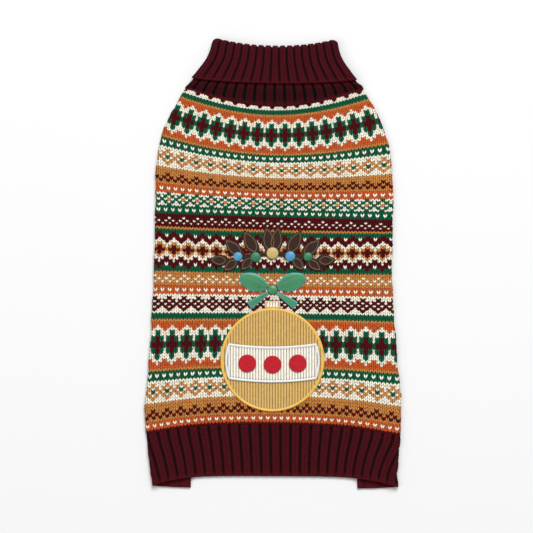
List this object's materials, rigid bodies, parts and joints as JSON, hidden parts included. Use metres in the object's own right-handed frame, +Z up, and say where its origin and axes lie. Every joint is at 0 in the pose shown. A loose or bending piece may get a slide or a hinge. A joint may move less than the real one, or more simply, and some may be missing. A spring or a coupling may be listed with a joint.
{
  "type": "dog sweater",
  "caption": "Knitted dog sweater with a folded roll neck, leg holes with rib cuffs, a rib hem and sewn-on felt and corduroy patches, laid flat with the back up.",
  "frame": {"origin": "on the surface that the sweater lies on, at the middle of its box", "axes": "+Y from the hem to the neck, +Z up from the surface, +X to the right of someone who looks down on the back with the neck away from them"},
  "size_m": [0.274, 0.4831, 0.0139],
  "materials": {
    "jacquard_knit": "matt acrylic yarn, stranded in bands of cream, burgundy, green, tan and orange",
    "rib_knit": "matt burgundy acrylic yarn in a two by two rib",
    "tan_corduroy": "soft corduroy with upright wales",
    "cream_corduroy": "soft corduroy with upright wales",
    "red_felt": "matt felt",
    "brown_felt": "matt felt with stitched veins",
    "satin_ribbon": "satin stitched thread",
    "blue_thread": "satin stitched thread",
    "green_thread": "satin stitched thread",
    "gold_thread": "satin stitched thread"
  },
  "bodies": {
    "root": {"back_panel": "jacquard_knit", "belly_panel": "jacquard_knit", "collar": "rib_knit", "hem_rib": "rib_knit", "belly_rib": "rib_knit", "leg_cuff_left": "rib_knit", "leg_cuff_right": "rib_knit", "bauble": "tan_corduroy", "bauble_band": "cream_corduroy", "bauble_cap": "cream_corduroy", "felt_disc_left": "red_felt", "felt_disc_middle": "red_felt", "felt_disc_right": "red_felt", "bow_loop_left": "satin_ribbon", "bow_loop_right": "satin_ribbon", "bow_tail_left": "satin_ribbon", "bow_tail_right": "satin_ribbon", "bow_knot": "satin_ribbon", "felt_bough": "brown_felt", "berry_blue_left": "blue_thread", "berry_blue_right": "blue_thread", "berry_green_left": "green_thread", "berry_green_right": "green_thread", "berry_gold": "gold_thread"}
  },
  "joints": []
}
